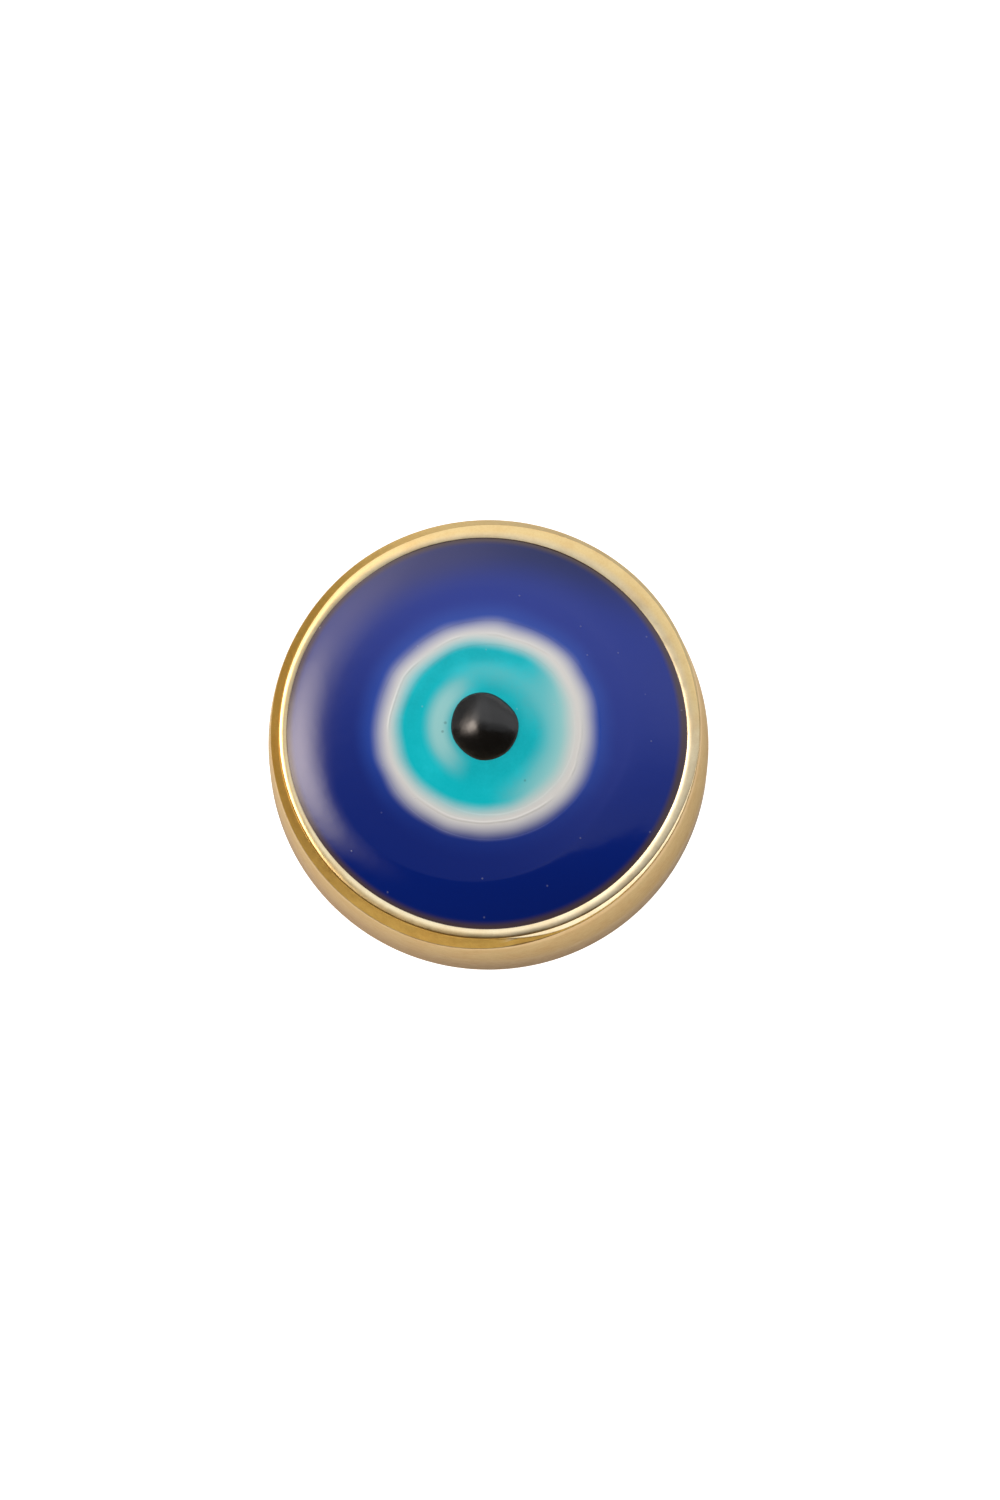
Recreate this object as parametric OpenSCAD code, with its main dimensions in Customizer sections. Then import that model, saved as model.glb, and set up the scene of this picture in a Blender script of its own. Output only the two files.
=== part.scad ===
// Evil eye lapel ornament: a round plated bezel cup filled with poured enamel, with a tack
// post soldered to its back and a butterfly clutch that holds the post in cloth.
// Millimetres. +Z is the way the eye looks, z = 0 is the back land that lies on the cloth,
// and the origin is on the axis of the cup and the post.

/* [Bezel cup] */
// Diameter of the cup at its widest
cup_d = 18; // [16:0.5:22]
// Height from the back land to the crest of the rim
cup_h = 4.8; // [4.2:0.1:6]
// Width of the rim seen from the front, from the enamel to the widest wall
rim_w = 0.92; // [0.8:0.02:1.4]
// Width of the rim's rounded inner bevel
bevel_w = 0.47; // [0.3:0.01:0.55]
// Slope of the rim's outer band, from the bevel to the crease above the wall
band_slope = 40; // [25:1:45]
// How far the wall leans in between its widest part and the rim
wall_lean = 0.1; // [0.05:0.05:0.3]
// Rounding of the back edge
back_round = 0.35; // [0.2:0.05:0.6]
// Thickness of the cup's floor above the recess
floor_t = 1.35; // [0.8:0.05:2]
// Depth of the recess in the back
recess_depth = 0.25; // [0.2:0.05:0.4]
// Width of the flat land around the recess
land_w = 1.75; // [1:0.05:2.5]

/* [Enamel] */
// How far the enamel's edge lies below the rim's crest
edge_drop = 0.1; // [0.05:0.05:0.3]
// How high the enamel's dome rises above its own edge
dome_h = 1.15; // [0.6:0.05:1.6]
// Share of the dome's fall that is spread over its whole width
crown = 0.66; // [0.5:0.02:0.8]
// Where the rest of the fall starts, as a share of the dome's radius
roll_at = 0.75; // [0.6:0.01:0.85]
// Radius of the white pool
white_r = 4.52; // [4.2:0.02:5.2]
// Depth of the white pool in the middle
white_depth = 1; // [0.8:0.05:1.6]
// Radius of the turquoise pool
turquoise_r = 3.5; // [3:0.05:3.9]
// Depth of the turquoise pool in the middle
turquoise_depth = 0.6; // [0.3:0.05:0.7]
// Radius of the black pupil drop
pupil_r = 1.42; // [1:0.02:1.8]
// Height of the pupil drop above the dome
pupil_h = 0.68; // [0.3:0.02:1]

/* [Tack post] */
// Diameter of the post
post_d = 1; // [0.9:0.05:1.2]
// How far the post's foot lies behind the back land
foot_drop = 0.08; // [0.05:0.01:0.1]
// Length of the post below the back land
post_l = 8; // [7.5:0.5:10]
// Length of the post's point
tip_l = 1.3; // [1:0.1:2]
// Radius of the post's soldered foot
foot_r = 2; // [1.5:0.1:3]
// Width of the solder's fillet around the foot
solder_w = 0.45; // [0.3:0.05:0.8]

/* [Butterfly clutch] */
// Gap for cloth between the back land and the clutch plate
cloth_gap = 1.6; // [1.5:0.1:2]
// Radius of the clutch plate
plate_r = 5.5; // [5.2:0.1:6]
// Thickness of the clutch plate
plate_t = 0.4; // [0.3:0.05:0.5]
// Thickness of the cap's sheet
cap_t = 0.3; // [0.25:0.05:0.35]
// Outer radius of the cap's turret
turret_r = 3.6; // [3.4:0.1:4]
// Height of the cap below the plate
turret_h = 2.8; // [2.6:0.1:3.2]
// Clearance of the clutch's holes around the post
post_clear = 0.08; // [0.05:0.01:0.1]
// Thickness of the spring leaves
leaf_t = 0.3; // [0.2:0.05:0.3]
// Width of a spring leaf inside the turret
leaf_w = 2.6; // [2.4:0.1:2.8]
// How far each wing moves in when it is squeezed
squeeze = 0.5; // [0.3:0.1:0.5]
// Width of a wing's finger pad
pad_w = 5; // [4:0.2:6]
// Length of a finger pad's straight part
pad_straight = 1.6; // [1:0.1:1.8]
// How steeply the pads turn down, from the plane of the plate
pad_lean = 66; // [55:1:75]
// How far the pads' tips flare out again
flare_turn = 34; // [10:1:40]

/* [Hidden] */
$fn = 96;

cup_r = cup_d / 2;
enamel_r = cup_r - rim_w;
edge_z = cup_h - edge_drop;
floor_z = recess_depth + floor_t;
recess_r = cup_r - back_round - land_w;
post_r = post_d / 2;
hole_r = post_r + post_clear;

// Grip grooves around the post, as the distances of their middles below the back land
groove_w = 0.6;
groove_depth = 0.1;
groove_r = (pow(groove_w / 2, 2) + pow(groove_depth, 2)) / (2 * groove_depth);
groove_places = [1.65, 5, 6];

// Places along Z, measured down from the clutch plate's top
plate_z = -cloth_gap;
plate_low = plate_z - plate_t;
turret_low = plate_low - turret_h;
leaf_gap = 0.1;
left_leaf_z = plate_low - 0.6;
right_leaf_z = left_leaf_z - leaf_t - leaf_gap;
slot_clear = 0.2;
lip_w = 0.4;
lip_t = 0.15;
grip_clear = 0.02;
leaf_end_x = 2.2;
bend_r = 0.8;
flare_r = 2.2;
pad_corner = 1.3;

gold = [0.83, 0.68, 0.38];
pale_gold = [0.86, 0.75, 0.5];

// Points of an arc round (x, z), from angle a0 to a1 in n steps
function arc(x, z, r, a0, a1, n = 8) =
    [for (i = [0:n]) let (a = a0 + (a1 - a0) * i / n) [x + r * cos(a), z + r * sin(a)]];

// How far radius r is into the outer part of the dome that rolls off, from 0 to 1
function roll(r) = max(0, (r / enamel_r - roll_at) / (1 - roll_at));

// Height of the enamel's dome at radius r
function dome_z(r) =
    edge_z + dome_h * (1 - crown * pow(r / enamel_r, 2) - (1 - crown) * pow(roll(r), 1.2));

// Points of the dome from radius r0 to r1
function dome(r0, r1, n = 10) =
    [for (i = [0:n]) let (r = r0 + (r1 - r0) * i / n) [r, dome_z(r)]];

// Points of a pool's bowl, from its edge on the dome down to the axis
function bowl(pool_r, depth, n = 10) =
    [for (i = [0:n]) let (r = pool_r * (1 - i / n))
        [r, dome_z(pool_r) - depth * (1 - pow(r / pool_r, 2))]];

// The same points in the other order
function back_along(points) = [for (i = [len(points) - 1:-1:0]) points[i]];

// All but the first point
function rest_of(points) = [for (i = [1:1:len(points) - 1]) points[i]];

// The spun brass cup: a shallow recess behind, a leaning wall and a rim. From the enamel
// outwards the rim is a rounded bevel with the crest on it, then a straight band that falls
// to a crease above the wall.
module bezel_cup() {
    wall_top_r = cup_r - wall_lean;
    bevel_in = 22;
    bevel_out = 14;
    bevel_r = bevel_w / (sin(bevel_in) + sin(bevel_out));
    crest_r = enamel_r + bevel_r * sin(bevel_in);
    bevel_end_z = cup_h - bevel_r * (1 - cos(bevel_out));
    crease_z = bevel_end_z - (wall_top_r - enamel_r - bevel_w) * tan(band_slope);
    lean_low_z = cup_h * 0.45;
    wall = [for (i = [0:6]) let (t = i / 6)
        [cup_r - wall_lean * t * t, lean_low_z + (crease_z - lean_low_z) * t]];
    color(gold) rotate_extrude() polygon(concat(
        [[0, recess_depth], [recess_r, recess_depth], [recess_r, 0]],
        arc(cup_r - back_round, back_round, back_round, -90, 0),
        wall,
        arc(crest_r, cup_h - bevel_r, bevel_r, 90 - bevel_out, 90 + bevel_in, 6),
        [[enamel_r, floor_z], [0, floor_z]]
    ));
}

// The blue pour: fills the cup to the rim and holds the white pool
module cobalt_enamel() {
    color("mediumblue") rotate_extrude() polygon(concat(
        [[0, floor_z], [enamel_r, floor_z]],
        dome(enamel_r, white_r, 12),
        rest_of(bowl(white_r, white_depth))
    ));
}

// The white pool, with the turquoise pool in it
module white_enamel() {
    color("whitesmoke") rotate_extrude() polygon(concat(
        back_along(bowl(white_r, white_depth)),
        rest_of(dome(white_r, turquoise_r, 6)),
        rest_of(bowl(turquoise_r, turquoise_depth))
    ));
}

// The turquoise pool, level with the dome
module turquoise_enamel() {
    color("darkturquoise") rotate_extrude() polygon(concat(
        back_along(bowl(turquoise_r, turquoise_depth)),
        rest_of(dome(turquoise_r, pupil_r, 8)),
        rest_of(dome(pupil_r, 0, 6))
    ));
}

// The pupil: a drop of black set on top of the dome
module black_pupil() {
    base_z = dome_z(pupil_r);
    drop_h = dome_z(0) + pupil_h - base_z;
    drop = [for (i = [9:-1:0]) let (q = i / 10)
        [pupil_r * q, base_z + drop_h * (1 - pow(q, 2))]];
    color([0.05, 0.05, 0.05]) rotate_extrude() polygon(concat(
        back_along(dome(pupil_r, 0, 6)),
        drop
    ));
}

// The post with its round foot, a point to pierce the cloth and grooves for the clutch
module tack_post() {
    color(pale_gold) difference() {
        union() {
            translate([0, 0, foot_drop]) cylinder(r = foot_r, h = recess_depth - foot_drop);
            translate([0, 0, tip_l - post_l])
                cylinder(r = post_r, h = post_l - tip_l + recess_depth);
            translate([0, 0, -post_l]) cylinder(r1 = 0.06, r2 = post_r, h = tip_l);
        }
        for (z = groove_places)
            translate([0, 0, -z]) rotate_extrude()
                translate([post_r - groove_depth + groove_r, 0]) circle(r = groove_r);
    }
}

// The ring of solder, hollowed like a fillet, between the foot's edge and the recess
module solder_fillet() {
    solder_h = recess_depth - foot_drop - 0.02;
    color("silver") rotate_extrude() polygon(concat(
        [[foot_r, recess_depth]],
        [for (i = [0:6]) let (a = 90 * i / 6)
            [foot_r + solder_w * (1 - sin(a)), recess_depth - solder_h * (1 - cos(a))]]
    ));
}

// The clutch's base disc: the post's hole and two small nibs that grip the cloth
module clutch_plate() {
    nib_r = 0.5;
    nib_h = 0.2;
    color(gold) difference() {
        union() {
            translate([0, 0, plate_low]) cylinder(r = plate_r, h = plate_t);
            for (side = [-1, 1])
                translate([0, side * plate_r * 0.6, plate_z + nib_h - nib_r]) intersection() {
                    sphere(r = nib_r, $fn = 48);
                    translate([0, 0, nib_r - nib_h - 0.1]) cylinder(r = nib_r, h = nib_r);
                }
        }
        translate([0, 0, plate_low - 1]) cylinder(r = hole_r, h = plate_t + 2);
    }
}

// The clutch's cap: crimped round the plate, with a turret that holds the spring leaves
module clutch_cap() {
    corner = 0.5;
    rim_r = plate_r + cap_t;
    slot_low = right_leaf_z - leaf_t - slot_clear;
    slot_top = left_leaf_z + slot_clear;
    slot_w = leaf_w + 2 * slot_clear;
    color(gold) difference() {
        rotate_extrude() polygon(concat(
            [[plate_r - lip_w, plate_z + lip_t], [plate_r - lip_w, plate_z]],
            [[plate_r, plate_z], [plate_r, plate_low], [turret_r - cap_t, plate_low]],
            [[turret_r - cap_t, turret_low + cap_t], [hole_r, turret_low + cap_t]],
            [[hole_r, turret_low]],
            arc(turret_r - corner, turret_low + corner, corner, -90, 0, 6),
            [[turret_r, plate_low - cap_t]],
            arc(rim_r - cap_t, plate_low, cap_t, -90, 0, 5),
            [[rim_r, plate_z + lip_t]]
        ));
        translate([-rim_r, -slot_w / 2, slot_low]) cube([2 * rim_r, slot_w, slot_top - slot_low]);
    }
}

// Way across a strip that heads away at angle h: 0 is along -X and 90 is along -Z
function across(h) = [sin(h), -cos(h)];

// A bend's points as [point, heading], round centre c, turning towards or back from -Z
function bend(c, r, h0, h1, way, n = 8) =
    [for (i = [0:n]) let (h = h0 + (h1 - h0) * i / n) [c - way * r * across(h), h]];

// A spring leaf that reaches out through the left slot and ends in a flared finger pad.
// top_z is the leaf's upper face.
module wing(top_z) {
    half_t = leaf_t / 2;
    mid_z = top_z - half_t;
    start_x = -turret_r - squeeze - 0.2;
    bend_centre = [start_x, mid_z - bend_r];
    knee = bend_centre - bend_r * across(pad_lean);
    straight_end = knee + pad_straight * [-cos(pad_lean), -sin(pad_lean)];
    flare_centre = straight_end - flare_r * across(pad_lean);
    spine = concat(
        [[[leaf_end_x, mid_z], 0]],
        bend(bend_centre, bend_r, 0, pad_lean, 1),
        bend(flare_centre, flare_r, pad_lean, pad_lean - flare_turn, -1)
    );
    tip_z = spine[len(spine) - 1][0][1] - half_t;
    neck_z = mid_z - bend_r;
    shoulder_z = neck_z - (pad_w - leaf_w) / 4;
    reach = plate_r * 2;
    difference() {
        intersection() {
            rotate([90, 0, 0]) linear_extrude(height = pad_w + 1, center = true) polygon(concat(
                [for (s = spine) s[0] + half_t * across(s[1])],
                back_along([for (s = spine) s[0] - half_t * across(s[1])])
            ));
            translate([-reach, 0, 0]) rotate([90, 0, 90]) linear_extrude(height = 2 * reach)
                polygon(concat(
                    [[-leaf_w / 2, top_z + 1], [-leaf_w / 2, neck_z]],
                    [[-pad_w / 2, shoulder_z]],
                    arc(pad_corner - pad_w / 2, tip_z + pad_corner, pad_corner, 180, 270),
                    arc(pad_w / 2 - pad_corner, tip_z + pad_corner, pad_corner, 270, 360),
                    [[pad_w / 2, shoulder_z]],
                    [[leaf_w / 2, neck_z], [leaf_w / 2, top_z + 1]]
                ));
        }
        leaf_hole(mid_z);
    }
}

// The long hole in a leaf: its right end bears on the post, and it has room for the squeeze
module leaf_hole(mid_z) {
    r = post_r + grip_clear;
    travel = squeeze + 0.1;
    for (x = [-travel, 0])
        translate([x, 0, mid_z - leaf_t]) cylinder(r = r, h = 2 * leaf_t);
    translate([-travel, -r, mid_z - leaf_t]) cube([travel, 2 * r, 2 * leaf_t]);
}

// The left spring leaf, the upper one
module wing_left() {
    color(pale_gold) wing(left_leaf_z);
}

// The right spring leaf, the lower one
module wing_right() {
    color(pale_gold) mirror([1, 0, 0]) wing(right_leaf_z);
}

bezel_cup();
cobalt_enamel();
white_enamel();
turquoise_enamel();
black_pupil();
tack_post();
solder_fillet();
clutch_plate();
clutch_cap();
wing_left();
wing_right();
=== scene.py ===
"""The evil eye lapel ornament's looks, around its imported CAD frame. Lengths are in metres, and
MM turns millimetres into them. The materials' own lengths are in millimetres."""

import math
import random

import bpy
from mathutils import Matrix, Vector


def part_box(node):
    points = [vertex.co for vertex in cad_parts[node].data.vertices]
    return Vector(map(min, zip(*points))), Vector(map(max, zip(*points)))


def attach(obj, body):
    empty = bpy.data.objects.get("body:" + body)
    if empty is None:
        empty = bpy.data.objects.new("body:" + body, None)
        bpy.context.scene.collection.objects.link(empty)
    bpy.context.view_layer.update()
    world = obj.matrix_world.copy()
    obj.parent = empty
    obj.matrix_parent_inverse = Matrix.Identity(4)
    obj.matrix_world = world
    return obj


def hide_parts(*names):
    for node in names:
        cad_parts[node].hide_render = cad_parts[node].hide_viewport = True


MM = 0.001
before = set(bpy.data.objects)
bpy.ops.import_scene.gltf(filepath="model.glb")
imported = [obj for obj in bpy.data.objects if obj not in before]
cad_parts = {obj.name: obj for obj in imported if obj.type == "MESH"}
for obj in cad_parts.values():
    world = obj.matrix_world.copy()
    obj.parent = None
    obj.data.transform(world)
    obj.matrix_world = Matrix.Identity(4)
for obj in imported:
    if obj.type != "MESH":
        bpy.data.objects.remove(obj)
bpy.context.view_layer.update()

# ---------------------------------------------------------------- sizes, from the frame

cup_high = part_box("bezel_cup")[1]
blue_low, blue_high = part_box("cobalt_enamel")
pupil_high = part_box("black_pupil")[1]

CUP_R, CUP_H = cup_high.x, cup_high.z
ENAMEL_R, FLOOR_Z = blue_high.x, blue_low.z
WHITE_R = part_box("white_enamel")[1].x
TURQUOISE_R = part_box("turquoise_enamel")[1].x
PUPIL_R, PUPIL_TOP = pupil_high.x, pupil_high.z
POST_TIP_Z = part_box("tack_post")[0].z
WING_TIP_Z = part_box("wing_right")[0].z

EDGE_Z = CUP_H - 0.1 * MM  # the enamel's edge, below the rim's crest
WHITE_DEPTH = 1.0 * MM  # how deep each pool reaches below the dome
TURQUOISE_DEPTH = 0.6 * MM

# ---------------------------------------------------------------- camera

TILT = math.radians(10.5)
TURN = math.radians(0.5)
LENS = 250
SENSOR = 36
CLIP_START = 0.01
PICTURE_W, PICTURE_H = 1000, 1500
CUP_SHARE = 0.4425  # the cup's width as a share of the picture's
AIM_RIGHT = 0.47 * MM  # the picture's middle, from the rim's middle
AIM_DOWN = 0.65 * MM


def place_camera():
    """Looks down on the eye, tilted so that the front of the wall shows."""
    data = bpy.data.cameras.new("camera")
    cam = bpy.data.objects.new("camera", data)
    bpy.context.scene.collection.objects.link(cam)
    data.lens = LENS
    data.sensor_width = SENSOR
    data.clip_start = CLIP_START
    back = Vector((
        math.sin(TURN) * math.sin(TILT), -math.cos(TURN) * math.sin(TILT), math.cos(TILT)
    ))
    turn = back.to_track_quat("Z", "Y")
    right, up = turn @ Vector((1, 0, 0)), turn @ Vector((0, 1, 0))
    view_h = 2 * CUP_R / CUP_SHARE * PICTURE_H / PICTURE_W
    aim = Vector((0, 0, EDGE_Z)) + right * AIM_RIGHT - up * AIM_DOWN
    cam.location = aim + back * view_h * LENS / SENSOR
    cam.rotation_euler = turn.to_euler()
    bpy.context.scene.camera = cam


place_camera()

# ---------------------------------------------------------------- mesh helpers

AXIS_R = 1e-9  # a point closer to the axis than this is on it


def add_object(name, verts, faces, sharp_deg=35):
    """A mesh object from its points and faces, smooth except at its sharp edges."""
    mesh = bpy.data.meshes.new(name)
    mesh.from_pydata(verts, [], faces)
    mesh.validate()
    mesh.update()
    mesh.polygons.foreach_set("use_smooth", [True] * len(mesh.polygons))
    mesh.set_sharp_from_angle(angle=math.radians(sharp_deg))
    obj = bpy.data.objects.new(name, mesh)
    bpy.context.scene.collection.objects.link(obj)
    return obj


def lathe(name, profile, segments, shift, sharp_deg):
    """Turns a closed profile of (r, z) points, listed counterclockwise, round Z. A point on
    the axis becomes a pole. shift(angle, r, z) moves a point's radius and height."""
    verts, rings = [], []
    for r, z in profile:
        if r < AXIS_R:
            rings.append([len(verts)])
            verts.append((0, 0, z + shift(0, 0, z)[1]))
            continue
        ring = []
        for k in range(segments):
            a = 2 * math.pi * k / segments
            dr, dz = shift(a, r, z)
            ring.append(len(verts))
            verts.append(((r + dr) * math.cos(a), (r + dr) * math.sin(a), z + dz))
        rings.append(ring)
    faces = []
    for one, two in zip(rings, rings[1:] + rings[:1]):
        if len(one) == 1 and len(two) == 1:
            continue
        for k in range(segments):
            n = (k + 1) % segments
            if len(one) == 1:
                faces.append((one[0], two[n], two[k]))
            elif len(two) == 1:
                faces.append((one[k], one[n], two[0]))
            else:
                faces.append((one[k], one[n], two[n], two[k]))
    return add_object(name, verts, faces, sharp_deg)


def arc(r, z, radius, start, end, steps):
    """Points round (r, z), from one angle to another in degrees."""
    return [
        (r + radius * math.cos(math.radians(start + (end - start) * i / steps)),
         z + radius * math.sin(math.radians(start + (end - start) * i / steps)))
        for i in range(steps + 1)
    ]


def line(p, q, steps):
    """Points from p to q, without q."""
    return [(p[0] + (q[0] - p[0]) * i / steps, p[1] + (q[1] - p[1]) * i / steps)
            for i in range(steps)]


def waves(seed, orders, size):
    """A smooth random wave round the axis, about size high, from whole numbers of turns."""
    rng = random.Random(seed)
    terms = [(n, rng.uniform(0, 2 * math.pi), rng.uniform(0.5, 1) / math.sqrt(n)) for n in orders]
    scale = size / math.sqrt(sum(w * w for _, _, w in terms))
    return lambda a: scale * sum(w * math.cos(n * a + p) for n, p, w in terms)


def ease(x, low, high):
    """0 below low, 1 above high, smooth between."""
    t = min(1, max(0, (x - low) / (high - low)))
    return t * t * (3 - 2 * t)


def bulge(a, degrees, power):
    """1 in one direction round the axis, falling away to both sides."""
    return max(0, math.cos(a - math.radians(degrees))) ** power


def bulges(a, sizes):
    """The sum of bulges, each as (size in mm, direction in degrees, power)."""
    return sum(size * bulge(a, degrees, power) for size, degrees, power in sizes)


# ---------------------------------------------------------------- the cup

CUP_TURNS = 384
WALL_LEAN = 0.1 * MM
WALL_UPRIGHT = 0.45  # share of the cup's height below which the wall doesn't lean
WALL_STEPS = 22
BACK_ROUND = 0.35 * MM
RECESS = 0.25 * MM
RECESS_ROUND = 0.05 * MM
LAND_W = 1.75 * MM
RIM_TOP_R = CUP_R - WALL_LEAN
RIM_W = RIM_TOP_R - ENAMEL_R
BEVEL_W = 0.47 * MM
BEVEL_SHARE = BEVEL_W / RIM_W
BEVEL_IN, BEVEL_OUT = math.radians(22), math.radians(14)  # slopes at the bevel's two edges
BEVEL_R = BEVEL_W / (math.sin(BEVEL_IN) + math.sin(BEVEL_OUT))
BEVEL_STEPS = 14
GROOVE_W = 0.05 * MM  # the filed line between the bevel and the band
GROOVE_D = 0.03 * MM
GROOVE_R = ENAMEL_R + BEVEL_W + GROOVE_W / 2
GROOVE_FLOOR = (0.65, 0.35)  # the floor's two edges, as shares of its width
GROOVE_FILLED = 0.9  # share of its depth that is filled in away from the front
BAND_W = RIM_TOP_R - ENAMEL_R - BEVEL_W - GROOVE_W
BAND_TOP = 0.02 * MM  # how far the band starts below the bevel's outer edge
BAND_DROP = 0.28 * MM
BAND_SLOPE, BAND_SLOPE_SWING = 40, 4  # degrees. It is steepest at the front
BAND_BELLY = 0.004 * MM
BAND_STEPS = 14
BEVEL_FALL = 0.03 * MM  # about how far the bevel falls from its crest to the band
CREASE_Z = CUP_H - BEVEL_FALL - BAND_DROP
CREASE_ROUND = 0.04 * MM
HAND_LOW, HAND_HIGH = CUP_H - 2.4 * MM, CREASE_Z - 0.1 * MM  # the hand's work sets in here

POUR_SHIFT = 0.13 * MM  # how far the enamel's opening is off the cup's middle
POUR_ANGLE = math.radians(152)
LIP_ANGLE = 318  # degrees, where the band was pressed up into a second lip
LIP_SLOPE = math.radians(14)
LIP_CREST = 0.8  # share of the band's width
RIM_ROLL = math.radians(5)  # the rim's top is rolled outwards
BACK_ROLL = 1.4  # how many times that is added at the back

# size in mm, direction in degrees, and power
OPENING_BULGES = ((0.14, 0, 6), (0.06, -80, 8))
LINE_BULGES = ((0.05, 90, 2), (-0.08, LIP_ANGLE, 6))
CREASE_BULGES = ((0.04, 90, 2), (-0.36, 330, 2))

inner_wave = waves(3, (2, 3, 5, 7, 9), 0.012 * MM)
line_wave = waves(7, (2, 3, 4, 6, 8, 11), 0.02 * MM)
crease_wave = waves(11, (2, 3, 5, 8), 0.012 * MM)
height_wave = waves(13, (1, 2, 3, 5, 7), 0.012 * MM)


def opening_shift(a):
    """How far the rim's inner edge is from its true circle: off centre, and filed by hand."""
    off_centre = POUR_SHIFT * math.cos(a - POUR_ANGLE)
    return off_centre + bulges(a, OPENING_BULGES) * MM + inner_wave(a)


def line_shift(a):
    """How far the filed line is from its true circle: the band is widest at the front."""
    filed = 0.12 * math.sin(a) + 0.05 * math.cos(a) + 0.05 * math.sin(2 * a) - 0.01
    return (filed + bulges(a, LINE_BULGES)) * MM + line_wave(a)


def crease_shift(a):
    """How far the band's outer edge is from its true circle: furthest in at the lip."""
    return bulges(a, CREASE_BULGES) * MM + crease_wave(a)


def lip_crest(a):
    """Where the second lip's crest is, as a share of the band's width from the filed line."""
    return LIP_CREST * ease(bulge(a, LIP_ANGLE, 3), 0.32, 0.8)


def band_share(share, crest):
    """Spreads the band's points evenly over both sides of the lip's crest."""
    there = ease(crest, 0, 0.2)
    if share < 0.5:
        spread = 2 * share * crest
    else:
        spread = crest + (2 * share - 1) * (1 - crest)
    return share + (spread - share) * there


def cup_shift(a, r, z):
    """The rim is finished by hand: its edges wander, its top rolls outwards, and the band
    falls away from it, or rises to the second lip first."""
    high = ease(z, HAND_LOW, HAND_HIGH)
    inside = ease(r, ENAMEL_R - 0.01 * MM, ENAMEL_R)
    if high * inside == 0:
        return 0, 0
    across = min(1, max(0, (r - ENAMEL_R) / RIM_W))
    inner = max(0, 1 - across / BEVEL_SHARE)
    outer = max(0, (across - BEVEL_SHARE) / (1 - BEVEL_SHARE))
    at_line, at_crease = line_shift(a), crease_shift(a)
    dr = inner * opening_shift(a) + (1 - inner - outer) * at_line + outer * at_crease
    rolled = 1 + math.sin(a) + BACK_ROLL * max(0, math.sin(a)) ** 2
    roll = min(across, BEVEL_SHARE) * RIM_W * math.tan(RIM_ROLL * rolled)
    width, crest = BAND_W - at_line + at_crease, lip_crest(a)
    plain = min(1, max(0, r - ENAMEL_R - BEVEL_W - GROOVE_W) / BAND_W)
    share = band_share(plain, crest)
    dr += (share - plain) * width
    fall = math.tan(math.radians(BAND_SLOPE - BAND_SLOPE_SWING * math.sin(a)))
    rise = min(share, crest) * math.tan(LIP_SLOPE) - max(0, share - crest) * fall
    dz = height_wave(a) - roll + plain * BAND_DROP + width * rise
    if abs(r - GROOVE_R) < 0.2 * GROOVE_W:
        dz += GROOVE_D * GROOVE_FILLED * (1 - bulge(a, -90, 0.5))
    return dr * high, dz * high


def cup_profile():
    """The cup's section, as (r, z, name of its part) points."""
    recess_r = CUP_R - BACK_ROUND - LAND_W
    points = [(0, RECESS)]
    points += line((0.4 * recess_r, RECESS), (recess_r - RECESS_ROUND, RECESS), 6)
    points += arc(recess_r - RECESS_ROUND, RECESS - RECESS_ROUND, RECESS_ROUND, 90, 0, 4)
    points += arc(recess_r + RECESS_ROUND, RECESS_ROUND, RECESS_ROUND, 180, 270, 4)
    points += arc(CUP_R - BACK_ROUND, BACK_ROUND, BACK_ROUND, -90, 0, 14)
    lean_low = CUP_H * WALL_UPRIGHT
    lean_high = CREASE_Z - CREASE_ROUND
    for i in range(WALL_STEPS + 1):
        t = i / WALL_STEPS
        points.append((CUP_R - WALL_LEAN * t ** 2, lean_low + (lean_high - lean_low) * t))
    section = [(r, z, "wall") for r, z in points]

    crease = arc(RIM_TOP_R - CREASE_ROUND, CREASE_Z - CREASE_ROUND, CREASE_ROUND, 8, 60, 6)
    section += [(r, z, "edge") for r, z in crease]

    crest_r, crest_z = ENAMEL_R + BEVEL_R * math.sin(BEVEL_IN), CUP_H - BEVEL_R
    bevel = arc(crest_r, crest_z, BEVEL_R,
                90 - math.degrees(BEVEL_OUT), 90 + math.degrees(BEVEL_IN), BEVEL_STEPS)
    start_r, start_z = crease[-1]
    bevel_r, bevel_z = bevel[0]
    band_w, band_h = bevel_r + GROOVE_W - start_r, bevel_z - BAND_TOP - start_z
    for i in range(BAND_STEPS):
        t = (i + 1) / BAND_STEPS
        belly = BAND_BELLY * math.sin(math.pi * t)
        section.append((start_r + band_w * t, start_z + band_h * t + belly, "band"))
    for share in GROOVE_FLOOR:
        section.append((bevel_r + share * GROOVE_W, bevel_z - GROOVE_D, "groove"))
    inner = line((ENAMEL_R, EDGE_Z - 0.05 * MM), (ENAMEL_R, FLOOR_Z), 3)
    bevel += inner + [(ENAMEL_R, FLOOR_Z), (0, FLOOR_Z)]
    return section + [(r, z, "bevel") for r, z in bevel]


CUP_ATTRIBUTES = ("rim", "polish", "groove")


def part_weights(part, r, a):
    """How much of a point is rim, polished, and groove, which gets tarnish and painted shade, as
    does the lip's outer edge. The lip is polished too.
    """
    rim = 0 if part in ("wall", "edge") else 1
    on_lip = ease(lip_crest(a), 0, 0.15)
    inner_half = 1 if r < ENAMEL_R + BEVEL_W + GROOVE_W + BAND_W / 2 else 0
    polish = {"bevel": 1, "band": on_lip * inner_half}.get(part, 0)
    return rim, polish, {"groove": 1, "edge": 0.7 * on_lip}.get(part, 0)


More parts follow.
